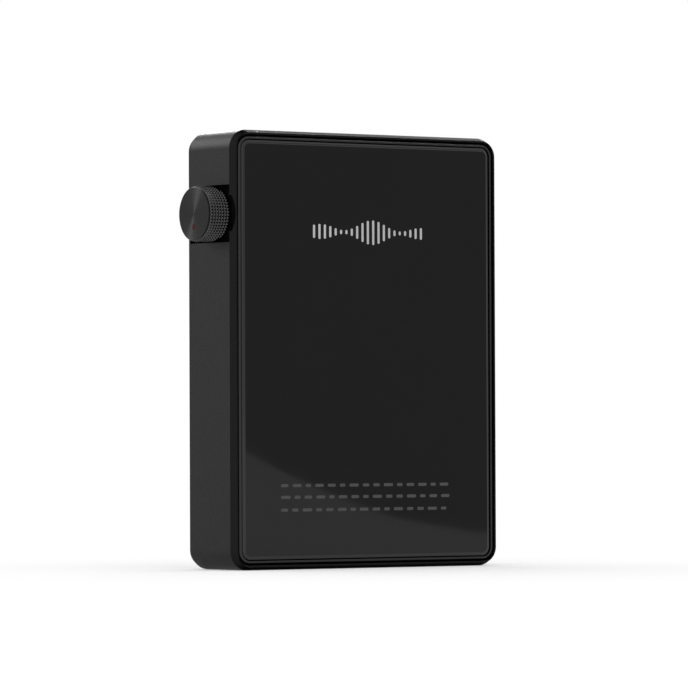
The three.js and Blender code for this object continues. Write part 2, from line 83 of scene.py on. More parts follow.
def make_camera():
    """From the rear on the knob's side, level with the lower part of the case."""
    azimuth = math.radians(144.37)
    elevation = math.radians(-1.06)
    roll = math.radians(-0.218)
    distance = 946.65 * MM
    raised = 1.35 * MM
    back = Vector((math.sin(azimuth) * math.cos(elevation),
                   -math.cos(azimuth) * math.cos(elevation), math.sin(elevation)))
    right = Vector((0, 0, 1)).cross(back).normalized()
    up = back.cross(right)
    rolled_right = right * math.cos(roll) + up * math.sin(roll)
    rolled_up = up * math.cos(roll) - right * math.sin(roll)
    place = Vector((0, 0, MID_Z)) + rolled_up * raised + back * distance
    data = bpy.data.cameras.new("camera")
    data.sensor_width = 36
    data.lens = 270.5
    data.clip_start = 0.01
    camera = bpy.data.objects.new("camera", data)
    camera.matrix_world = Matrix((
        (rolled_right.x, rolled_up.x, back.x, place.x),
        (rolled_right.y, rolled_up.y, back.y, place.y),
        (rolled_right.z, rolled_up.z, back.z, place.z),
        (0, 0, 0, 1),
    ))
    bpy.context.scene.collection.objects.link(camera)
    bpy.context.scene.camera = camera


make_camera()


# ---------- material tools ----------

class Paint:
    """A node material that starts as one Principled shader."""

    def __init__(self, name, **sockets):
        self.material = bpy.data.materials.new(name)
        self.material.use_nodes = True
        self.nodes = self.material.node_tree.nodes
        self.links = self.material.node_tree.links
        self.shader = self.nodes["Principled BSDF"]
        for socket, value in sockets.items():
            self.shader.inputs[socket.replace("_", " ")].default_value = value
        self.place = self.node("ShaderNodeTexCoord").outputs["Object"]

    def node(self, kind, **settings):
        node = self.nodes.new(kind)
        for key, value in settings.items():
            setattr(node, key, value)
        return node

    def join(self, source, target):
        self.links.new(source, target)
        return target

    def noise(self, size, detail=2.0, rough=0.5, stretch=None):
        """Noise from 0 to 1 whose blotches are about this many metres across."""
        place = self.place
        if stretch:
            scaled = self.node("ShaderNodeVectorMath", operation="MULTIPLY")
            scaled.inputs[1].default_value = stretch
            self.join(place, scaled.inputs[0])
            place = scaled.outputs[0]
        node = self.node("ShaderNodeTexNoise")
        node.inputs["Scale"].default_value = 1.0 / size
        node.inputs["Detail"].default_value = detail
        node.inputs["Roughness"].default_value = rough
        self.join(place, node.inputs["Vector"])
        return node.outputs["Fac"]

    def ranged(self, value, low, high, from_low=0.3, from_high=0.7):
        node = self.node("ShaderNodeMapRange")
        node.inputs["From Min"].default_value = from_low
        node.inputs["From Max"].default_value = from_high
        node.inputs["To Min"].default_value = low
        node.inputs["To Max"].default_value = high
        self.join(value, node.inputs["Value"])
        return node.outputs["Result"]

    def colours(self, value, dark, light, from_low=0.3, from_high=0.7):
        ramp = self.node("ShaderNodeValToRGB")
        ramp.color_ramp.elements[0].position = from_low
        ramp.color_ramp.elements[0].color = (*dark, 1)
        ramp.color_ramp.elements[1].position = from_high
        ramp.color_ramp.elements[1].color = (*light, 1)
        self.join(value, ramp.inputs["Fac"])
        self.join(ramp.outputs["Color"], self.shader.inputs["Base Color"])
        return ramp

    def rough(self, value, low, high):
        self.join(self.ranged(value, low, high), self.shader.inputs["Roughness"])

    def bump(self, value, height, strength=1.0):
        """Height is the bump's full depth in metres."""
        node = self.node("ShaderNodeBump")
        node.inputs["Strength"].default_value = strength
        node.inputs["Distance"].default_value = height
        self.join(value, node.inputs["Height"])
        for link in self.shader.inputs["Normal"].links:
            self.join(link.from_socket, node.inputs["Normal"])
        self.join(node.outputs["Normal"], self.shader.inputs["Normal"])


GLASS_GLOSS = 0.28
GLASS_EDGE_GLOSS = 0.5
EDGE_TINT = (0.35, 0.35, 0.35, 1)
BLAST_TINT = (0.8, 0.8, 0.8, 1)


def shade(colour, factor):
    return tuple(channel * factor for channel in colour)


def blasted_metal(name, colour, roughness, grain=0.28 * MM, depth=0.012 * MM):
    """Bead-blasted and anodised aluminium."""
    paint = Paint(name, Metallic=1.0, Specular_Tint=BLAST_TINT)
    grains = paint.noise(grain, detail=3.0, rough=0.65)
    drift = paint.noise(9 * MM, detail=2.0)
    paint.colours(grains, shade(colour, 0.78), shade(colour, 1.22))
    paint.rough(drift, roughness - 0.03, roughness + 0.03)
    paint.bump(grains, depth)
    return paint.material


def cut_metal(name, colour, roughness, tint=EDGE_TINT):
    """Machined edge, smoother than the blasted sides, with faint tool marks."""
    paint = Paint(name, Metallic=1.0, Specular_Tint=tint)
    marks = paint.noise(0.5 * MM, detail=3.0, stretch=(1, 6, 1))
    paint.colours(marks, shade(colour, 0.92), shade(colour, 1.08))
    paint.rough(marks, roughness - 0.03, roughness + 0.04)
    paint.bump(paint.noise(0.12 * MM, detail=2.0), 0.002 * MM)
    return paint.material


def black_glass(name, colour, roughness=0.035, gloss=GLASS_GLOSS):
    """Polished glass over a black print."""
    paint = Paint(name, Metallic=0.0, IOR=1.5)
    paint.shader.inputs["Specular IOR Level"].default_value = gloss
    smear = paint.noise(14 * MM, detail=4.0, rough=0.6)
    paint.colours(smear, shade(colour, 0.9), shade(colour, 1.1))
    paint.rough(smear, roughness - 0.01, roughness + 0.015)
    paint.bump(paint.noise(22 * MM, detail=1.0), 0.0012 * MM)
    return paint.material


def moulded(name, colour, roughness=0.5, grain=0.25 * MM, depth=0.008 * MM, gloss=0.5):
    """Moulded plastic with a fine spark-eroded texture."""
    paint = Paint(name, Metallic=0.0)
    paint.shader.inputs["Specular IOR Level"].default_value = gloss
    texture = paint.noise(grain, detail=3.0)
    paint.colours(paint.noise(5 * MM), shade(colour, 0.9), shade(colour, 1.1))
    paint.rough(texture, roughness - 0.05, roughness + 0.06)
    paint.bump(texture, depth)
    return paint.material


def painted_shade_black(name, colour):
    """Painted shade: near-black with almost no shine, inside a groove or a recess."""
    paint = Paint(name, Metallic=0.0)
    paint.shader.inputs["Specular IOR Level"].default_value = 0.03
    texture = paint.noise(0.3 * MM, detail=3.0)
    paint.colours(texture, shade(colour, 0.7), shade(colour, 1.3))
    paint.rough(texture, 0.75, 0.9)
    paint.bump(texture, 0.01 * MM)
    return paint.material


def brushed(name, colour, roughness=0.3, along=(1, 1, 14), metallic=1.0):
    """Rolled or brushed sheet, with its lines along one axis."""
    paint = Paint(name, Metallic=metallic)
    lines = paint.noise(1.2 * MM, detail=4.0, rough=0.7, stretch=along)
    paint.colours(lines, shade(colour, 0.85), shade(colour, 1.1))
    paint.rough(lines, roughness - 0.07, roughness + 0.1)
    paint.bump(lines, 0.003 * MM)
    return paint.material


def spun_metal(name, colour, roughness, centre, pitch=0.05 * MM):
    """A face turned on a lathe about an axis along X, with fine rings."""
    paint = Paint(name, Metallic=1.0, Anisotropic=0.96, Anisotropic_Rotation=0.25)
    shifted = paint.node("ShaderNodeVectorMath", operation="SUBTRACT")
    shifted.inputs[1].default_value = centre
    paint.join(paint.place, shifted.inputs[0])
    flat = paint.node("ShaderNodeVectorMath", operation="MULTIPLY")
    flat.inputs[1].default_value = (0, 1, 1)
    paint.join(shifted.outputs[0], flat.inputs[0])
    radius = paint.node("ShaderNodeVectorMath", operation="LENGTH")
    paint.join(flat.outputs[0], radius.inputs[0])
    rings = paint.node("ShaderNodeTexNoise", noise_dimensions="1D")
    rings.inputs["Scale"].default_value = 1.0 / pitch
    rings.inputs["Detail"].default_value = 2.0
    paint.join(radius.outputs["Value"], rings.inputs["W"])
    paint.colours(rings.outputs["Fac"], shade(colour, 0.85), shade(colour, 1.15))
    paint.rough(rings.outputs["Fac"], roughness - 0.03, roughness + 0.04)
    paint.bump(rings.outputs["Fac"], 0.0006 * MM)
    tangent = paint.node("ShaderNodeTangent", direction_type="RADIAL", axis="X")
    paint.join(tangent.outputs[0], paint.shader.inputs["Tangent"])
    return paint.material


def circuit_board(name):
    """Green solder mask over faint copper tracks."""
    paint = Paint(name, Metallic=0.0, Roughness=0.4)
    cells = paint.node("ShaderNodeTexVoronoi", feature="DISTANCE_TO_EDGE", distance="EUCLIDEAN")
    cells.inputs["Scale"].default_value = 1 / (2.2 * MM)
    paint.join(paint.place, cells.inputs["Vector"])
    paint.colours(cells.outputs["Distance"], (0.02, 0.10, 0.045), (0.008, 0.05, 0.022), 0.03, 0.06)
    paint.bump(cells.outputs["Distance"], 0.02 * MM)
    return paint.material


def foil_pouch(name):
    """Laminated pouch foil with soft creases."""
    paint = Paint(name, Metallic=0.9)
    creases = paint.noise(6 * MM, detail=5.0, rough=0.6)
    paint.colours(creases, (0.42, 0.43, 0.44), (0.6, 0.61, 0.62))
    paint.rough(creases, 0.25, 0.45)
    paint.bump(creases, 0.08 * MM)
    return paint.material



CASE_COLOUR = (0.025, 0.025, 0.0254)
PAINTS = {
    "case_black": blasted_metal("case_anodised", CASE_COLOUR, 0.42),
    "chamfer": cut_metal("chamfer_anodised", (0.0145, 0.0145, 0.0148), 0.3),
    # Painted shade: near-black with almost no shine, for grooves, the knob's recess, the glass pockets and
    # hidden sides.
    "recess": painted_shade_black("recess_painted_shade", (0.002, 0.002, 0.002)),
    "cover_black": blasted_metal("cover_anodised", (0.042, 0.042, 0.043), 0.3, 0.12 * MM, 0.003 * MM),
    "rear_glass_black": black_glass("rear_glass_black", (0.0030, 0.0030, 0.0031)),
    "front_glass_black": black_glass("front_glass_black", (0.0022, 0.0022, 0.0024), 0.025),
    "glass_edge": black_glass("glass_edge_polish", (0.0030, 0.0030, 0.0031), 0.06, GLASS_EDGE_GLOSS),
    "screen": black_glass("screen_off", (0.0062, 0.0066, 0.0076), 0.06),
    "diffuser_white": moulded("diffuser_white", (0.8, 0.8, 0.78), 0.35),
    "frame_magnesium": blasted_metal("frame_cast", (0.36, 0.37, 0.38), 0.5, 0.3 * MM, 0.02 * MM),
    "board_green": circuit_board("board_mask"),
    "chip_black": moulded("chip_resin", (0.012, 0.012, 0.013), 0.45),
    "foil_silver": brushed("tinned_sheet", (0.6, 0.61, 0.62)),
    "battery_foil": foil_pouch("battery_pouch"),
    "foam_black": moulded("foam_black", (0.02, 0.02, 0.02), 0.9, 0.4 * MM, 0.05 * MM),
    "ribbon_amber": brushed("ribbon_film", (0.4, 0.14, 0.02), 0.35, (1, 1, 8), 0.0),
    "connector_white": moulded("connector_nylon", (0.75, 0.73, 0.68), 0.45),
    "plastic_black": moulded("plastic_black", (0.010, 0.010, 0.010), 0.45),
    "trim_black": cut_metal("trim_turned", (0.10, 0.10, 0.104), 0.22),
    "button_black": blasted_metal("button_anodised", (0.05, 0.05, 0.052), 0.32, 0.12 * MM, 0.004 * MM),
    "steel": brushed("steel_sheet", (0.55, 0.55, 0.56)),
    "bush_brass": brushed("bush_turned", (0.7, 0.52, 0.22), 0.25, (14, 1, 1)),
    "knob_black": cut_metal("knurl_anodised", (0.075, 0.075, 0.076), 0.17, BLAST_TINT),
    "knob_face": spun_metal("knob_spun_face", (0.019, 0.019, 0.0194), 0.28, (0, 0, KNOB_Z)),
    "marker_red": moulded("marker_enamel", (0.060, 0.003, 0.003), 0.6, 0.1 * MM, 0.002 * MM, 0.08),
    "print_silver": moulded("print_silver", (0.42, 0.42, 0.42), 0.5, 0.1 * MM, 0.001 * MM),
    "print_faint": moulded("print_faint", (0.040, 0.040, 0.041), 0.6, 0.1 * MM, 0.001 * MM),
    "gold_contact": brushed("gold_contact", (0.75, 0.52, 0.2), 0.2, (1, 1, 6)),
}


# ---------- mesh tools ----------

def piece_from(name, mesh, paints, body, replaced=()):
    """Makes an object of a mesh, paints it and puts it on a body."""
    piece = bpy.data.objects.new(name, mesh)
    bpy.context.scene.collection.objects.link(piece)
    for paint in paints:
        mesh.materials.append(PAINTS[paint])
    finish_piece(piece, body, replaced)
    return piece


def finish_piece(piece, body, replaced=()):
    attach(piece, body)
    if replaced:
        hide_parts(*replaced)


def smooth_below(mesh, degrees):
    """Smooth shading, with flat end faces and edges sharper than this many degrees kept crisp."""
    for face in mesh.polygons:
        face.use_smooth = len(face.vertices) <= 8
    mesh.set_sharp_from_angle(angle=math.radians(degrees))


def rounded(half_x, half_z, radius, steps=ARC_STEPS):
    """Corner-rounded rectangle round (0, 0), anticlockwise, as (x, z) points."""
    points = []
    for corner, (side_x, side_z) in enumerate(((1, 1), (-1, 1), (-1, -1), (1, -1))):
        for step in range(steps + 1):
            angle = math.pi / 2 * (corner + step / steps)
            points.append((side_x * (half_x - radius) + radius * math.cos(angle),
                           side_z * (half_z - radius) + radius * math.sin(angle)))
    return points


def case_ring(offset, y):
    """The case outline drawn in by an offset, at depth y."""
    radius = max(CORNER - offset, 0.8 * MM)
    outline = rounded(HALF_W - offset, MID_Z - offset, radius)
    return [(x, y, z + MID_Z) for x, z in outline]


def loft(name, rings, closed=False, caps=(True, True)):
    """Joins rings of equally many points by quads, and caps or closes the ends."""
    shape = bmesh.new()
    rows = [[shape.verts.new(point) for point in ring] for ring in rings]
    pairs = list(zip(rows, rows[1:]))
    if closed:
        pairs.append((rows[-1], rows[0]))
    count = len(rows[0])
    for lower, upper in pairs:
        for i in range(count):
            j = (i + 1) % count
            shape.faces.new((lower[i], lower[j], upper[j], upper[i]))
    if not closed:
        if caps[0]:
            shape.faces.new(list(reversed(rows[0])))
        if caps[1]:
            shape.faces.new(rows[-1])
    bmesh.ops.recalc_face_normals(shape, faces=shape.faces)
    mesh = bpy.data.meshes.new(name)
    shape.to_mesh(mesh)
    shape.free()
    return mesh


def axis_point(axis, along, a, b, centre):
    """A point at a distance along an axis, with two offsets across it."""
    if axis == "x":
        return (along, centre[1] + a, centre[2] + b)
    if axis == "y":
        return (centre[0] + b, along, centre[2] + a)
    return (centre[0] + a, centre[1] + b, along)


def turned(name, axis, centre, profile, steps=72):
    """A lathe form from (radius, along) pairs. A radius of 0 closes that end in a point."""
    rings = []
    for radius, along in profile:
        ring = []
        for step in range(steps):
            angle = 2 * math.pi * step / steps
            ring.append(axis_point(axis, along, max(radius, 1e-7) * math.cos(angle),
                                   max(radius, 1e-7) * math.sin(angle), centre))
        rings.append(ring)
    mesh = loft(name, rings)
    tidy = bmesh.new()
    tidy.from_mesh(mesh)
    bmesh.ops.remove_doubles(tidy, verts=tidy.verts, dist=1e-6)
    bmesh.ops.recalc_face_normals(tidy, faces=tidy.faces)
    tidy.to_mesh(mesh)
    tidy.free()
    return mesh


def turned_ring(name, axis, centre, profile, steps=72):
    """A lathe form whose profile closes on itself."""
    rings = []
    for radius, along in profile:
        ring = []
        for step in range(steps):
            angle = 2 * math.pi * step / steps
            ring.append(axis_point(axis, along, radius * math.cos(angle),
                                   radius * math.sin(angle), centre))
        rings.append(ring)
    return loft(name, rings, closed=True)


def pill(half_long, half_wide, steps=12):
    """A rounded bar's outline as (a, b) points, long along a."""
    return rounded(half_long, half_wide, half_wide - 0.005 * MM, steps)


def prism_rings(outline_at, levels, axis, centre):
    """Rings along an axis; outline_at(inset) gives the outline drawn in by an inset."""
    rings = []
    for inset, along in levels:
        rings.append([axis_point(axis, along, a, b, centre) for a, b in outline_at(inset)])
    return rings


def box_mesh(name, low, high):
    rings = []
    for z in (low[2], high[2]):
        rings.append([(low[0], low[1], z), (high[0], low[1], z), (high[0], high[1], z), (low[0], high[1], z)])
    return loft(name, rings)


def cutter(mesh):
    """A hidden helper object for a boolean cut."""
    tool = bpy.data.objects.new(mesh.name, mesh)
    bpy.context.scene.collection.objects.link(tool)
    return tool


def apply_modifiers(piece):
    """Bakes the modifiers into the mesh."""
    graph = bpy.context.evaluated_depsgraph_get()
    mesh = bpy.data.meshes.new_from_object(piece.evaluated_get(graph))
    old = piece.data
    piece.modifiers.clear()
    piece.data = mesh
    bpy.data.meshes.remove(old)


def carve(mesh, tools, added=()):
    """Adds and cuts closed meshes, and returns the result as a mesh.

    The work is done at a thousand times the size, where the cuts are exact.
    """
    enlarge = Matrix.Scale(1 / MM, 4)
    for part in (mesh, *tools, *added):
        part.transform(enlarge)
    piece = bpy.data.objects.new(mesh.name, mesh)
    bpy.context.scene.collection.objects.link(piece)
    helpers = []
    for operation, group in (("UNION", added), ("DIFFERENCE", tools)):
        for tool_mesh in group:
            tool = cutter(tool_mesh)
            helpers.append(tool)
            step = piece.modifiers.new("cut", "BOOLEAN")
            step.operation = operation
            step.solver = "EXACT"
            step.object = tool
    bpy.context.view_layer.update()
    apply_modifiers(piece)
    for tool in helpers:
        bpy.data.objects.remove(tool)
    result = piece.data
    bpy.data.objects.remove(piece)
    result.transform(Matrix.Scale(MM, 4))
    return result


def soften(piece, width, limit=14, segments=2):
    """Rounds the edges sharper than the limit, and applies it."""
    bevel = piece.modifiers.new("edge", "BEVEL")
    bevel.width = width
    bevel.segments = segments
    bevel.limit_method = "ANGLE"
    bevel.angle_limit = math.radians(limit)
    bevel.use_clamp_overlap = True
    bevel.harden_normals = False
    weighted = piece.modifiers.new("normals", "WEIGHTED_NORMAL")
    weighted.keep_sharp = True
    bpy.context.view_layer.update()
    apply_modifiers(piece)


# ---------- case ----------

RECESS_DEEP = 1.4 * MM
RECESS_HALF_Z = 5.15 * MM
SCALLOP_RADIUS = 7.45 * MM
SCALLOP_HALF_Z = 3.2 * MM
SCALLOP_DEEP = 0.65 * MM
BUTTON_NAMES = ("forward", "play", "rewind")
HOLE_CLEAR = 0.2 * MM


def middle(node):
    """The middle of a CAD node's box."""
    low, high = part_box(node)
    return (low + high) / 2


BUTTON_RADIUS = 1.8 * MM
POWER_HALF_LONG = 4.5 * MM
POWER_HALF_WIDE = 1.3 * MM
CARD_SKIN = 0.7 * MM
CARD_HALF_LONG = 7.0 * MM
CARD_HALF_WIDE = 2.6 * MM
CARD_X = middle("card_socket_front").x
CARD_Y = (middle("card_socket_front").y + middle("card_socket_rear").y) / 2


def knob_recess():
    """The knob's recess with the finger relief that cuts both edge chamfers."""
    floor = HALF_W - RECESS_DEEP
    flat = HALF_D - CHAMFER_DEEP
    mouth = box_mesh("recess_mouth", (floor, -flat, KNOB_Z - RECESS_HALF_Z),
                     (HALF_W + MM, flat, KNOB_Z + RECESS_HALF_Z))
    shelf = HALF_W - SCALLOP_DEEP
    relief = turned("recess_relief", "x", (0, 0, KNOB_Z),
                    [(0, shelf), (SCALLOP_RADIUS, shelf), (SCALLOP_RADIUS, HALF_W + MM),
                     (0, HALF_W + MM)], 144)
    for side in (-1, 1):
        edge = side * SCALLOP_HALF_Z
        trim = box_mesh("relief_trim", (floor - MM, -HALF_D - MM, KNOB_Z + min(edge, 3 * edge)),
                        (HALF_W + 2 * MM, HALF_D + MM, KNOB_Z + max(edge, 3 * edge)))
        relief = carve(relief, [trim])
    return mouth, relief


def case_mesh():
    flat = HALF_D - CHAMFER_DEEP
    ledge = HALF_D - POCKET_DEEP
    profile = [(0, -flat), (0, flat), (CHAMFER_IN, HALF_D), (SEAT, HALF_D), (SEAT, ledge), (WALL, ledge),
               (WALL, -ledge), (SEAT, -ledge), (SEAT, -HALF_D), (CHAMFER_IN, -HALF_D)]
    shell = loft("case", [case_ring(offset, y) for offset, y in profile], closed=True)

    backing = [box_mesh("recess_backing", (HALF_W - 3.6 * MM, -5.9 * MM, KNOB_Z - 7.5 * MM),
                        (HALF_W - MM, 5.9 * MM, KNOB_Z + 7.5 * MM))]

    cuts = list(knob_recess())
    cuts.append(turned("bush_hole", "x", (0, 0, KNOB_Z), [
        (0, HALF_W - 5 * MM), (3.1 * MM, HALF_W - 5 * MM), (3.1 * MM, HALF_W), (0, HALF_W)], 48))
    for name in BUTTON_NAMES:
        low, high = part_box(f"{name}_button")
        centre = middle(f"{name}_button")
        radius = BUTTON_RADIUS + HOLE_CLEAR
        cuts.append(turned("button_hole", "x", (0, centre.y, centre.z), [
            (0, -HALF_W - MM), (radius, -HALF_W - MM), (radius, -HALF_W + 4 * MM),
            (0, -HALF_W + 4 * MM)], 64))
    for name in ("headphone_trim_ring", "optical_trim_ring"):
        low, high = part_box(name)
        centre = middle(name)
        radius = (high.x - low.x) / 2 + 0.08 * MM
        cuts.append(turned("jack_hole", "z", centre, [
            (0, HEIGHT - 3 * MM), (radius, HEIGHT - 3 * MM), (radius, HEIGHT + MM), (0, HEIGHT + MM)], 64))
    power = middle("power_button")
    cuts.append(loft("power_hole", prism_rings(
        lambda inset: pill(POWER_HALF_LONG + HOLE_CLEAR, POWER_HALF_WIDE + HOLE_CLEAR),
        [(0, HEIGHT - 3 * MM), (0, HEIGHT + MM)], "z", power)))
    usb = middle("usb_socket")
    cuts.append(loft("usb_hole", prism_rings(
        lambda inset: rounded(4.1 * MM, 1.55 * MM, 0.7 * MM, 8),
        [(0, -MM), (0, 3 * MM)], "z", usb)))
    cuts.append(loft("card_hole", prism_rings(
        lambda inset: rounded(CARD_HALF_LONG, CARD_HALF_WIDE, 0.5 * MM, 8),
        [(0, -MM), (0, CARD_SKIN)], "z", (CARD_X, CARD_Y, 0))))
    low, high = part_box("card_cover")
    cuts.append(box_mesh("card_track", (low.x - 11.3 * MM, low.y - 0.3 * MM, CARD_SKIN - 0.01 * MM),
                         (high.x + 0.3 * MM, high.y + 0.3 * MM, 3 * MM)))
    return carve(shell, cuts, backing)


# The last kind is not a finish of the metal but painted shade: near-black with almost no shine.
FACE_SATIN, FACE_CHAMFER, FACE_PAINTED_SHADE = range(3)


def case_face_kind(face):
    """Which paint a face of the case gets, from where it is and which way it looks. The recess kind is
    painted shade.
    """
    normal = face.normal
    inside_x = all(vertex.co.x < HALF_W + 1e-6 for vertex in face.verts)
    near_knob = all(abs(vertex.co.z - KNOB_Z) < RECESS_HALF_Z + 0.02 * MM for vertex in face.verts)
    on_knob_side = all(vertex.co.x > HALF_W - RECESS_DEEP - 0.02 * MM for vertex in face.verts)
    # Faces in the knob's recess and on its relief shelf get painted shade.
    if near_knob and inside_x and on_knob_side:
        flat_floor = normal.x > 0.99 and all(vertex.co.x < HALF_W - 0.3 * MM for vertex in face.verts)
        if flat_floor or abs(normal.x) < 0.5:
            if all(abs(vertex.co.y) < SCALLOP_RADIUS + 0.02 * MM for vertex in face.verts):
                return FACE_PAINTED_SHADE
    # Faces inside the glass pockets get painted shade too.
    in_groove = all(abs(vertex.co.x) < HALF_W - SEAT + 0.01 * MM and SEAT - 0.01 * MM < vertex.co.z
                    and vertex.co.z < HEIGHT - SEAT + 0.01 * MM for vertex in face.verts)
    if in_groove and all(abs(vertex.co.y) > HALF_D - POCKET_DEEP - 0.01 * MM for vertex in face.verts):
        return FACE_PAINTED_SHADE
    chamfer_tilt = math.sin(math.atan2(CHAMFER_IN, CHAMFER_DEEP))
    if abs(abs(normal.y) - chamfer_tilt) < 0.06:
        return FACE_CHAMFER
    if abs(normal.y) > 0.98 and any(abs(vertex.co.y) > HALF_D - 0.01 * MM for vertex in face.verts):
        return FACE_CHAMFER
    return FACE_SATIN


def make_case():
    """The case ring in three paints: two finishes and a near-black painted shade for the knob's recess and
    the glass pockets.
    """
    mesh = case_mesh()
    mesh.materials.clear()
    for paint in ("case_black", "chamfer", "recess"):
        mesh.materials.append(PAINTS[paint])
    work = bmesh.new()
    work.from_mesh(mesh)
    bmesh.ops.remove_doubles(work, verts=work.verts, dist=2e-7)
    for face in work.faces:
        face.material_index = case_face_kind(face)
    work.to_mesh(mesh)
    work.free()
    piece = bpy.data.objects.new("case", mesh)
    bpy.context.scene.collection.objects.link(piece)
    smooth_below(mesh, 14)
    soften(piece, 0.045 * MM)
    finish_piece(piece, "player", ["case_shell"])


make_case()


# ---------- rear cover and both glasses ----------

UPRIGHT = 0.1
LEVEL = 0.9999
COVER_SEEN = 0.3 * MM
COVER_PAINTED_SHADE = 1
GLASS_SLOPE, GLASS_SIDE_SHADE = 1, 2


def make_rear_cover():
    """The thin frame round the rear glass. Its upright sides and its underside are painted shade, in the
    recess black.
    """
    top = COVER_HIGH.y
    floor = GLASS_LOW.y - 0.2 * MM
    glass_seat = GLASS - 0.2 * MM
    profile = [(COVER, COVER_LOW.y), (COVER, top - 0.24 * MM), (COVER + 0.02 * MM, top - 0.20 * MM),
               (COVER + 0.20 * MM, top - 0.02 * MM), (COVER + 0.23 * MM, top), (glass_seat - 0.03 * MM, top),
               (glass_seat, top - 0.05 * MM), (glass_seat, floor)]
    mesh = loft("rear_cover_frame", [case_ring(offset, y) for offset, y in profile])
    smooth_below(mesh, 20)
    piece = piece_from("rear_cover_frame", mesh, ["cover_black", "recess"], "player",
                       ["rear_cover"])
    for face in piece.data.polygons:
        upright = abs(face.normal.y) < UPRIGHT
        if upright or face.center.y < top - COVER_SEEN:
            face.material_index = COVER_PAINTED_SHADE


def glass_plate(name, offset, back, face, paint, replaced):
    """A glass plate with a stepped polished bevel and sides painted shade in the recess black. face is its
    outer plane.
    """
    out = 1 if face > back else -1
    profile = [(offset, back), (offset, face - out * 0.20 * MM),
               (offset + 0.03 * MM, face - out * 0.165 * MM),
               (offset + 0.06 * MM, face - out * 0.15 * MM), (offset + 0.32 * MM, face - out * 0.055 * MM),
               (offset + 0.46 * MM, face - out * 0.053 * MM), (offset + 0.61 * MM, face)]
    mesh = loft(name, [case_ring(inset, y) for inset, y in profile])
    smooth_below(mesh, 9)
    piece = piece_from(name, mesh, [paint, "glass_edge", "recess"], "player", replaced)
    for side in piece.data.polygons:
        if abs(side.normal.y) < UPRIGHT:
            side.material_index = GLASS_SIDE_SHADE
        elif abs(side.normal.y) < LEVEL:
            side.material_index = GLASS_SLOPE


make_rear_cover()
glass_plate("rear_glass_plate", GLASS, GLASS_LOW.y, GLASS_HIGH.y, "rear_glass_black", ["rear_glass"])
glass_plate("front_glass_plate", COVER, FRONT_HIGH.y, FRONT_LOW.y, "front_glass_black", ["front_glass"])


# ---------- marks and the screen window ----------

PRINT = 0.012 * MM


def flat_bars(name, bars, side, paint, body="player"):
    """Thin printed bars on a glass face, each (x, z, half width, half height)."""
    face = GLASS_HIGH.y if side > 0 else FRONT_LOW.y
    shape = bmesh.new()
    for x, z, half_wide, half_high in bars:
        radius = min(half_wide, half_high) * 0.9
        outline = rounded(half_wide, half_high, radius, 5)
        for level, flip in ((face + side * 0.001 * MM, True), (face + side * PRINT, False)):
            verts = [shape.verts.new((x + a, level, z + b)) for a, b in outline]
            if flip:
                base = verts
        top = verts
        shape.faces.new(top)
        shape.faces.new(list(reversed(base)))
        for i in range(len(top)):
            j = (i + 1) % len(top)
            shape.faces.new((base[i], base[j], top[j], top[i]))
    bmesh.ops.recalc_face_normals(shape, faces=shape.faces)
    mesh = bpy.data.meshes.new(name)
    shape.to_mesh(mesh)
    shape.free()
    return piece_from(name, mesh, [paint], body)


def level_bars():
    """A row of sound-level bars, the player's plain rear mark."""
    count = 21
    pitch = 1.2 * MM
    centre_x = -0.1 * MM
    centre_z = 61.0 * MM
    bars = []
    for i in range(count):
        reach = (i - (count - 1) / 2) / ((count - 1) / 2)
        swell = 0.5 + 0.5 * math.cos(1.9 * math.pi * reach + 0.5)
        half_high = (0.35 + 1.9 * swell * (1 - 0.55 * reach * reach)) * MM
        bars.append((centre_x + (i - (count - 1) / 2) * pitch, centre_z, 0.24 * MM, half_high))
    return bars


def dash_rows():
    """Three faint rows of short dashes where the small print of such a player sits."""
    bars = []
    for row, z in enumerate((15.1, 13.0, 10.7)):
        x = 19.4 * MM
        for i in range(30):
            long_part = (0.55 + 0.45 * math.sin(2.3 * i + 1.7 * row)) * MM
            half = 0.55 * MM + 0.5 * long_part
            if x - 2 * half < -19.6 * MM:
                break
            bars.append((x - half, z * MM, half, 0.28 * MM))
            x -= 2 * half + 0.9 * MM
    return bars


flat_bars("rear_mark_bars", level_bars(), 1, "print_silver")
flat_bars("rear_small_dashes", dash_rows(), 1, "print_faint")


def make_screen_window():
    low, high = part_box("display_panel")
    half_x = 18.4 * MM
    half_z = 24.5 * MM
    centre_z = (low.z + high.z) / 2 + 2.0 * MM
    face = FRONT_LOW.y
    outline = rounded(half_x, half_z, 0.4 * MM, 5)
    levels = (face - 0.001 * MM, face - 0.006 * MM)
    rings = [[(x, y, z + centre_z) for x, z in outline] for y in levels]
    mesh = loft("screen_window", rings)
    piece_from("screen_window", mesh, ["screen"], "player")


make_screen_window()


# ---------- volume knob ----------

KNURL_ROUND = 54
KNURL_ROWS = 7
KNURL_DEEP = 0.31 * MM
KNURL_STEPS = 6
BARREL_RADIUS = KNOB_HIGH.y
KNOB_BACK = KNOB_LOW.x
KNURL_END = KNOB_HIGH.x
FACE_X = CAP_HIGH.x
CAP_RADIUS = CAP_HIGH.y


def saw(value):
    """0 in a groove, 1 on a crest, once per unit."""
    return 1 - abs(2 * (value - math.floor(value)) - 1)


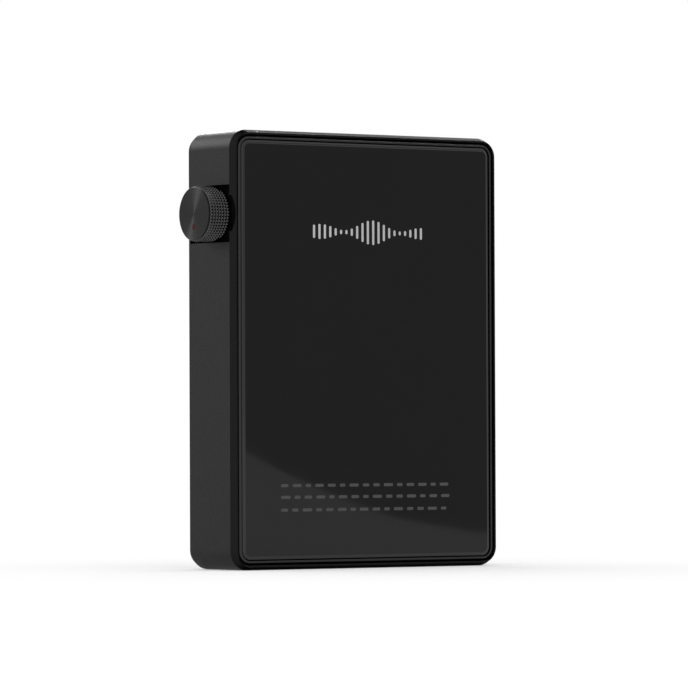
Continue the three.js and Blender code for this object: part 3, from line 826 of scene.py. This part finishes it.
def make_knob_barrel():
    around = KNURL_ROUND * KNURL_STEPS
    along = KNURL_ROWS * KNURL_STEPS
    root = BARREL_RADIUS - KNURL_DEEP

    def ring(x, radius):
        points = []
        for i in range(around):
            angle = 2 * math.pi * i / around
            r = radius(i / KNURL_STEPS) if callable(radius) else radius
            points.append((x, r * math.cos(angle), KNOB_Z + r * math.sin(angle)))
        return points

    rings = [ring(KNURL_END - 1.9 * MM, 1.9 * MM), ring(KNURL_END - 1.9 * MM, 4.15 * MM),
             ring(KNOB_BACK, 4.15 * MM), ring(KNOB_BACK, root - 0.08 * MM)]
    for j in range(along + 1):
        row = saw(j / KNURL_STEPS)
        x = KNOB_BACK + 0.03 * MM + (KNURL_END - KNOB_BACK - 0.06 * MM) * j / along
        rings.append(ring(x, lambda turn, row=row: root + KNURL_DEEP * min(1.0, 1.08 * min(row, saw(turn)))))
    rings += [ring(KNURL_END, root - 0.08 * MM), ring(KNURL_END, 4.4 * MM),
              ring(KNURL_END + 0.02 * MM, 4.36 * MM)]
    mesh = loft("knob_barrel", rings)
    smooth_below(mesh, 16)
    piece_from("knob_barrel", mesh, ["knob_black"], "volume_control", ["volume_knob"])


def make_knob_cap():
    back = KNURL_END + 0.03 * MM
    disc = FACE_X - 0.15 * MM
    edge = 0.15 * MM
    body = turned("knob_cap_face", "x", (0, 0, KNOB_Z), [
        (0, back), (4.35 * MM, back), (4.35 * MM, disc), (CAP_RADIUS - 0.03 * MM, disc),
        (CAP_RADIUS, disc + 0.02 * MM), (CAP_RADIUS, FACE_X - 0.10 * MM),
        (CAP_RADIUS - edge, FACE_X), (0, FACE_X),
    ], 160)
    dot = middle("knob_dot")
    low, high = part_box("knob_dot")
    radius = (high.y - low.y) / 2
    well = turned("dot_well", "x", (0, dot.y, dot.z), [
        (0, FACE_X - 0.12 * MM), (radius + 0.03 * MM, FACE_X - 0.12 * MM), (radius + 0.03 * MM, FACE_X + MM),
        (0, FACE_X + MM)], 40)
    mesh = carve(body, [well])
    smooth_below(mesh, 12)
    piece_from("knob_cap_face", mesh, ["knob_face"], "volume_control", ["knob_cap"])
    paint_dot = turned("knob_dot_enamel", "x", (0, dot.y, dot.z), [
        (0, low.x), (radius, low.x), (radius, high.x - 0.03 * MM), (radius * 0.8, high.x - 0.008 * MM),
        (radius * 0.4, high.x), (0, high.x)], 40)
    smooth_below(paint_dot, 60)
    piece_from("knob_dot_enamel", paint_dot, ["marker_red"], "volume_control", ["knob_dot"])


make_knob_barrel()
make_knob_cap()


# ---------- playback buttons and the power button ----------

def triangle_marks(name, centre, triangles):
    """Filled arrow heads on a -X button face, each (offset along y, direction, size)."""
    shape = bmesh.new()
    for shift, direction, size in triangles:
        corners = [(-0.5 * size * direction, 0.6 * size), (-0.5 * size * direction, -0.6 * size),
                   (0.5 * size * direction, 0)]
        rows = []
        for x in (centre.x + 0.02 * MM, centre.x - 0.012 * MM):
            rows.append([shape.verts.new((x, centre.y + shift + a, centre.z + b)) for a, b in corners])
        shape.faces.new(rows[1])
        shape.faces.new(list(reversed(rows[0])))
        for i in range(3):
            j = (i + 1) % 3
            shape.faces.new((rows[0][i], rows[0][j], rows[1][j], rows[1][i]))
    bmesh.ops.recalc_face_normals(shape, faces=shape.faces)
    mesh = bpy.data.meshes.new(name)
    shape.to_mesh(mesh)
    shape.free()
    return mesh


def make_buttons():
    arrows = {
        "forward": [(-0.38 * MM, -1, 0.75 * MM), (0.32 * MM, -1, 0.75 * MM)],
        "play": [(0, -1, 1.0 * MM)],
        "rewind": [(-0.32 * MM, 1, 0.75 * MM), (0.38 * MM, 1, 0.75 * MM)],
    }
    for name in BUTTON_NAMES:
        low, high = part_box(f"{name}_button")
        centre = middle(f"{name}_button")
        face = low.x
        inner = high.x
        flange = inner - 0.6 * MM
        mesh = turned(f"{name}_key", "x", (0, centre.y, centre.z), [
            (0, face + 0.10 * MM), (1.0 * MM, face + 0.07 * MM), (1.38 * MM, face + 0.015 * MM),
            (1.48 * MM, face), (1.60 * MM, face + 0.02 * MM), (1.74 * MM, face + 0.10 * MM),
            (BUTTON_RADIUS, face + 0.24 * MM), (BUTTON_RADIUS, flange), (BUTTON_RADIUS + 0.7 * MM, flange),
            (BUTTON_RADIUS + 0.7 * MM, inner), (0, inner)], 80)
        smooth_below(mesh, 32)
        piece_from(f"{name}_key", mesh, ["button_black"], f"{name}_key", [f"{name}_button"])
        mark_at = Vector((face + 0.085 * MM, centre.y, centre.z))
        mark = triangle_marks(f"{name}_arrow", mark_at, arrows[name])
        piece_from(f"{name}_arrow", mark, ["print_silver"], f"{name}_key")


def make_power_button():
    centre = middle("power_button")
    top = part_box("power_button")[1].z
    flange = HEIGHT - WALL - 0.35 * MM

    def outline(inset):
        return pill(POWER_HALF_LONG - inset, POWER_HALF_WIDE - inset)

    levels = [(0, flange), (0, top - 0.22 * MM), (0.04 * MM, top - 0.10 * MM), (0.12 * MM, top - 0.03 * MM),
              (0.24 * MM, top), (0.5 * MM, top - 0.01 * MM), (0.9 * MM, top - 0.06 * MM)]
    mesh = loft("power_key", prism_rings(outline, levels, "z", centre))
    smooth_below(mesh, 35)
    piece_from("power_key", mesh, ["button_black"], "power_key", ["power_button"])


make_buttons()
make_power_button()


# ---------- jacks ----------

def make_jack(kind):
    """A trim ring, a black barrel and a contact band."""
    ring_low, ring_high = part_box(f"{kind}_trim_ring")
    centre = middle(f"{kind}_trim_ring")
    outer = (ring_high.x - ring_low.x) / 2
    bore = 1.95 * MM
    top = ring_high.z
    foot = ring_low.z
    ring = turned_ring(f"{kind}_ring", "z", centre, [
        (bore, foot), (outer, foot), (outer, top - 0.12 * MM), (outer - 0.04 * MM, top - 0.03 * MM),
        (outer - 0.12 * MM, top), (bore + 0.42 * MM, top), (bore + 0.34 * MM, top - 0.02 * MM),
        (bore + 0.06 * MM, top - 0.28 * MM), (bore, top - 0.36 * MM)], 96)
    smooth_below(ring, 24)
    piece_from(f"{kind}_ring", ring, ["trim_black"], "player", [f"{kind}_trim_ring"])

    low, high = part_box(f"{kind}_jack")
    mouth = 1.75 * MM
    barrel_outer = 2.7 * MM
    body = turned_ring(f"{kind}_barrel", "z", centre, [
        (mouth, low.z + 1.3 * MM), (barrel_outer, low.z + 1.3 * MM), (barrel_outer, high.z),
        (mouth + 0.1 * MM, high.z), (mouth, high.z - 0.1 * MM)], 64)
    smooth_below(body, 24)
    piece_from(f"{kind}_barrel", body, ["plastic_black"], "player")
    spring = turned_ring(f"{kind}_contact", "z", centre, [
        (mouth - 0.15 * MM, high.z - 3.2 * MM), (mouth - 0.01 * MM, high.z - 3.3 * MM),
        (mouth - 0.01 * MM, high.z - 2.2 * MM), (mouth - 0.15 * MM, high.z - 2.3 * MM)], 64)
    smooth_below(spring, 40)
    piece_from(f"{kind}_contact", spring, ["gold_contact"], "player")


for jack in ("headphone", "optical"):
    make_jack(jack)


# ---------- bottom: USB socket and card cover ----------

def make_usb():
    """The socket's steel shell and its tongue with five contacts."""
    low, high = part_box("usb_socket")
    centre = middle("usb_socket")
    wall = 0.3 * MM
    mouth = low.z - 1.75 * MM

    def shell_outline(inset):
        half_x = 3.75 * MM - inset
        half_y = 1.25 * MM - inset
        cut = 0.75 * MM
        return [(-half_x + cut, -half_y), (half_x - cut, -half_y), (half_x, -half_y + cut), (half_x, half_y),
                (-half_x, half_y), (-half_x, -half_y + cut)]

    levels = [(0, mouth), (0, high.z), (wall, high.z), (wall, mouth + 0.12 * MM), (wall - 0.1 * MM, mouth)]
    shell = loft("usb_shell", prism_rings(shell_outline, levels, "z", centre), closed=True)
    smooth_below(shell, 20)
    piece = bpy.data.objects.new("usb_shell", shell)
    bpy.context.scene.collection.objects.link(piece)
    shell.materials.append(PAINTS["steel"])
    soften(piece, 0.05 * MM, 25, 2)
    finish_piece(piece, "player", ["usb_socket"])

    tongue_low, tongue_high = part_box("usb_tongue")
    tongue = box_mesh("usb_plate", (tongue_low.x, tongue_low.y, mouth + 0.6 * MM), tongue_high)
    piece = bpy.data.objects.new("usb_plate", tongue)
    bpy.context.scene.collection.objects.link(piece)
    tongue.materials.append(PAINTS["plastic_black"])
    soften(piece, 0.08 * MM, 30, 2)
    finish_piece(piece, "player", ["usb_tongue"])
    for i in range(5):
        x = centre.x + (i - 2) * 0.65 * MM
        contact = box_mesh(f"usb_contact_{i + 1}",
                           (x - 0.15 * MM, tongue_low.y - 0.05 * MM, mouth + 0.9 * MM),
                           (x + 0.15 * MM, tongue_low.y + 0.01 * MM, tongue_high.z - MM))
        piece_from(f"usb_contact_{i + 1}", contact, ["gold_contact"], "player")


RIBS = 4
RIB_PITCH = 0.52 * MM
RIB_HALF = 0.14 * MM
RIB_REACH = 2.1 * MM
RIB_FOOT = 0.18 * MM
GRIP_END = CARD_X + CARD_HALF_LONG - 0.75 * MM


def make_card_cover():
    """The sliding cover, with a ribbed grip at its outer end."""
    low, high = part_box("card_cover")
    plate_foot = CARD_SKIN + 0.05 * MM
    plate = box_mesh("card_door_plate", (low.x, low.y, plate_foot), high)
    ribs = []
    for i in range(RIBS):
        x = GRIP_END - i * RIB_PITCH
        rib_low = (x - RIB_HALF, CARD_Y - RIB_REACH, RIB_FOOT)
        rib_high = (x + RIB_HALF, CARD_Y + RIB_REACH, plate_foot + 0.1 * MM)
        ribs.append(box_mesh("card_rib", rib_low, rib_high))
    mesh = carve(plate, [], ribs)
    piece = bpy.data.objects.new("card_door", mesh)
    bpy.context.scene.collection.objects.link(piece)
    mesh.materials.clear()
    mesh.materials.append(PAINTS["button_black"])
    smooth_below(mesh, 20)
    soften(piece, 0.06 * MM, 30, 2)
    finish_piece(piece, "card_door", ["card_cover"])


make_usb()
make_card_cover()


# ---------- the frame's own nodes ----------

def paint_nodes():
    slots = {entry["node"]: entry["material_slot"] for entry in frame["record"]["subparts"]}
    for name, node in frame["nodes"].items():
        if not node.hide_render:
            node.data.materials.clear()
            node.data.materials.append(PAINTS[slots[name]])


paint_nodes()


# ---------- floor, lights and surroundings ----------

FLOOR_DROP = 0.03 * MM


def make_floor():
    half = 4.0
    shape = bmesh.new()
    steps = 96
    rim = []
    for i in range(steps):
        angle = 2 * math.pi * i / steps
        rim.append(shape.verts.new((half * math.cos(angle), half * math.sin(angle), -FLOOR_DROP)))
    shape.faces.new(rim)
    mesh = bpy.data.meshes.new("floor")
    shape.to_mesh(mesh)
    shape.free()
    floor = bpy.data.objects.new("floor", mesh)
    bpy.context.scene.collection.objects.link(floor)
    paint = Paint("floor_white", Metallic=0.0, Roughness=0.8)
    paint.shader.inputs["Specular IOR Level"].default_value = 0.0
    paint.shader.inputs["Emission Color"].default_value = (1, 1, 1, 1)
    paint.shader.inputs["Emission Strength"].default_value = 0.28
    paint.colours(paint.noise(0.35, detail=2.0), (0.73, 0.73, 0.73), (0.76, 0.76, 0.76))
    mesh.materials.append(paint.material)


def area_light(name, place, target, width, height, power):
    """A softbox that is seen in the shiny surfaces and leaves the floor evenly lit."""
    data = bpy.data.lights.new(name, "AREA")
    data.shape = "RECTANGLE"
    data.size = width
    data.size_y = height
    data.energy = power
    light = bpy.data.objects.new(name, data)
    light.location = place
    light.rotation_euler = (Vector(target) - Vector(place)).to_track_quat("-Z", "Y").to_euler()
    light.visible_diffuse = False
    bpy.context.scene.collection.objects.link(light)


def make_world():
    """An even white light tent."""
    world = bpy.data.worlds.new("tent")
    bpy.context.scene.world = world
    world.use_nodes = True
    background = world.node_tree.nodes["Background"]
    background.inputs["Color"].default_value = (1, 1, 1, 1)
    background.inputs["Strength"].default_value = 1.0


def glow(name, strength):
    """An emitting grey material for cards."""
    material = bpy.data.materials.new(name)
    material.use_nodes = True
    nodes = material.node_tree.nodes
    nodes.clear()
    emission = nodes.new("ShaderNodeEmission")
    place = nodes.new("ShaderNodeTexCoord")
    noise = nodes.new("ShaderNodeTexNoise")
    noise.inputs["Scale"].default_value = 3.0
    level = nodes.new("ShaderNodeMapRange")
    level.inputs["To Min"].default_value = strength * 0.92
    level.inputs["To Max"].default_value = strength * 1.08
    output = nodes.new("ShaderNodeOutputMaterial")
    links = material.node_tree.links
    links.new(place.outputs["Object"], noise.inputs["Vector"])
    links.new(noise.outputs["Fac"], level.inputs["Value"])
    links.new(level.outputs["Result"], emission.inputs["Strength"])
    links.new(emission.outputs["Emission"], output.inputs["Surface"])
    return material


def make_flag():
    """A grey card opposite the rear glass, with a sagging lower edge the glass mirrors.

    The edge is a list of points, each (across the card, height), in metres. Four of them were
    worked out from positions read along the reflection in the photo.
    """
    away = 0.35
    card_top = 0.135
    mirrored = Vector((-0.5825, 0.8126, 0))
    beside = Vector((0.8126, 0.5825, 0))
    start = Vector((0, GLASS_HIGH.y, 0))
    sag = ((-0.060, -0.0020), (-0.0308, -0.0003), (-0.0190, 0.0018), (-0.0079, 0.0039), (0.0010, 0.0072),
           (0.0096, 0.0107), (0.0200, 0.0155), (0.0291, 0.0205), (0.045, 0.030), (0.060, 0.041))
    lower = [start + mirrored * away + beside * across + Vector((0, 0, z)) for across, z in sag]
    upper = [Vector((point.x, point.y, card_top)) for point in lower]
    shape = bmesh.new()
    low_verts = [shape.verts.new(point) for point in lower]
    high_verts = [shape.verts.new(point) for point in upper]
    for i in range(len(lower) - 1):
        shape.faces.new((low_verts[i], low_verts[i + 1], high_verts[i + 1], high_verts[i]))
    mesh = bpy.data.meshes.new("flag")
    shape.to_mesh(mesh)
    shape.free()
    flag = bpy.data.objects.new("flag", mesh)
    bpy.context.scene.collection.objects.link(flag)
    mesh.materials.append(glow("flag_grey", 0.48))
    flag.visible_camera = False
    flag.visible_diffuse = False
    flag.visible_shadow = False
    flag.visible_transmission = False


make_floor()
make_world()
make_flag()
area_light("softbox_above", (-0.42, -0.42, 0.55), (-0.03, -0.03, 0.06), 0.6, 0.6, 12.0)
area_light("softbox_top", (-0.46, -0.02, 0.71), (0, 0, 0.08), 0.3, 0.3, 5.0)
area_light("softbox_side", (0.17, -0.55, 0.41), (0.03, 0, 0.06), 0.14, 0.14, 0.4)
area_light("softbox_knob", (0.41, -0.46, 0.354), (0.03, 0, 0.06), 0.16, 0.16, 1.4)
bpy.context.scene.view_settings.view_transform = "Standard"
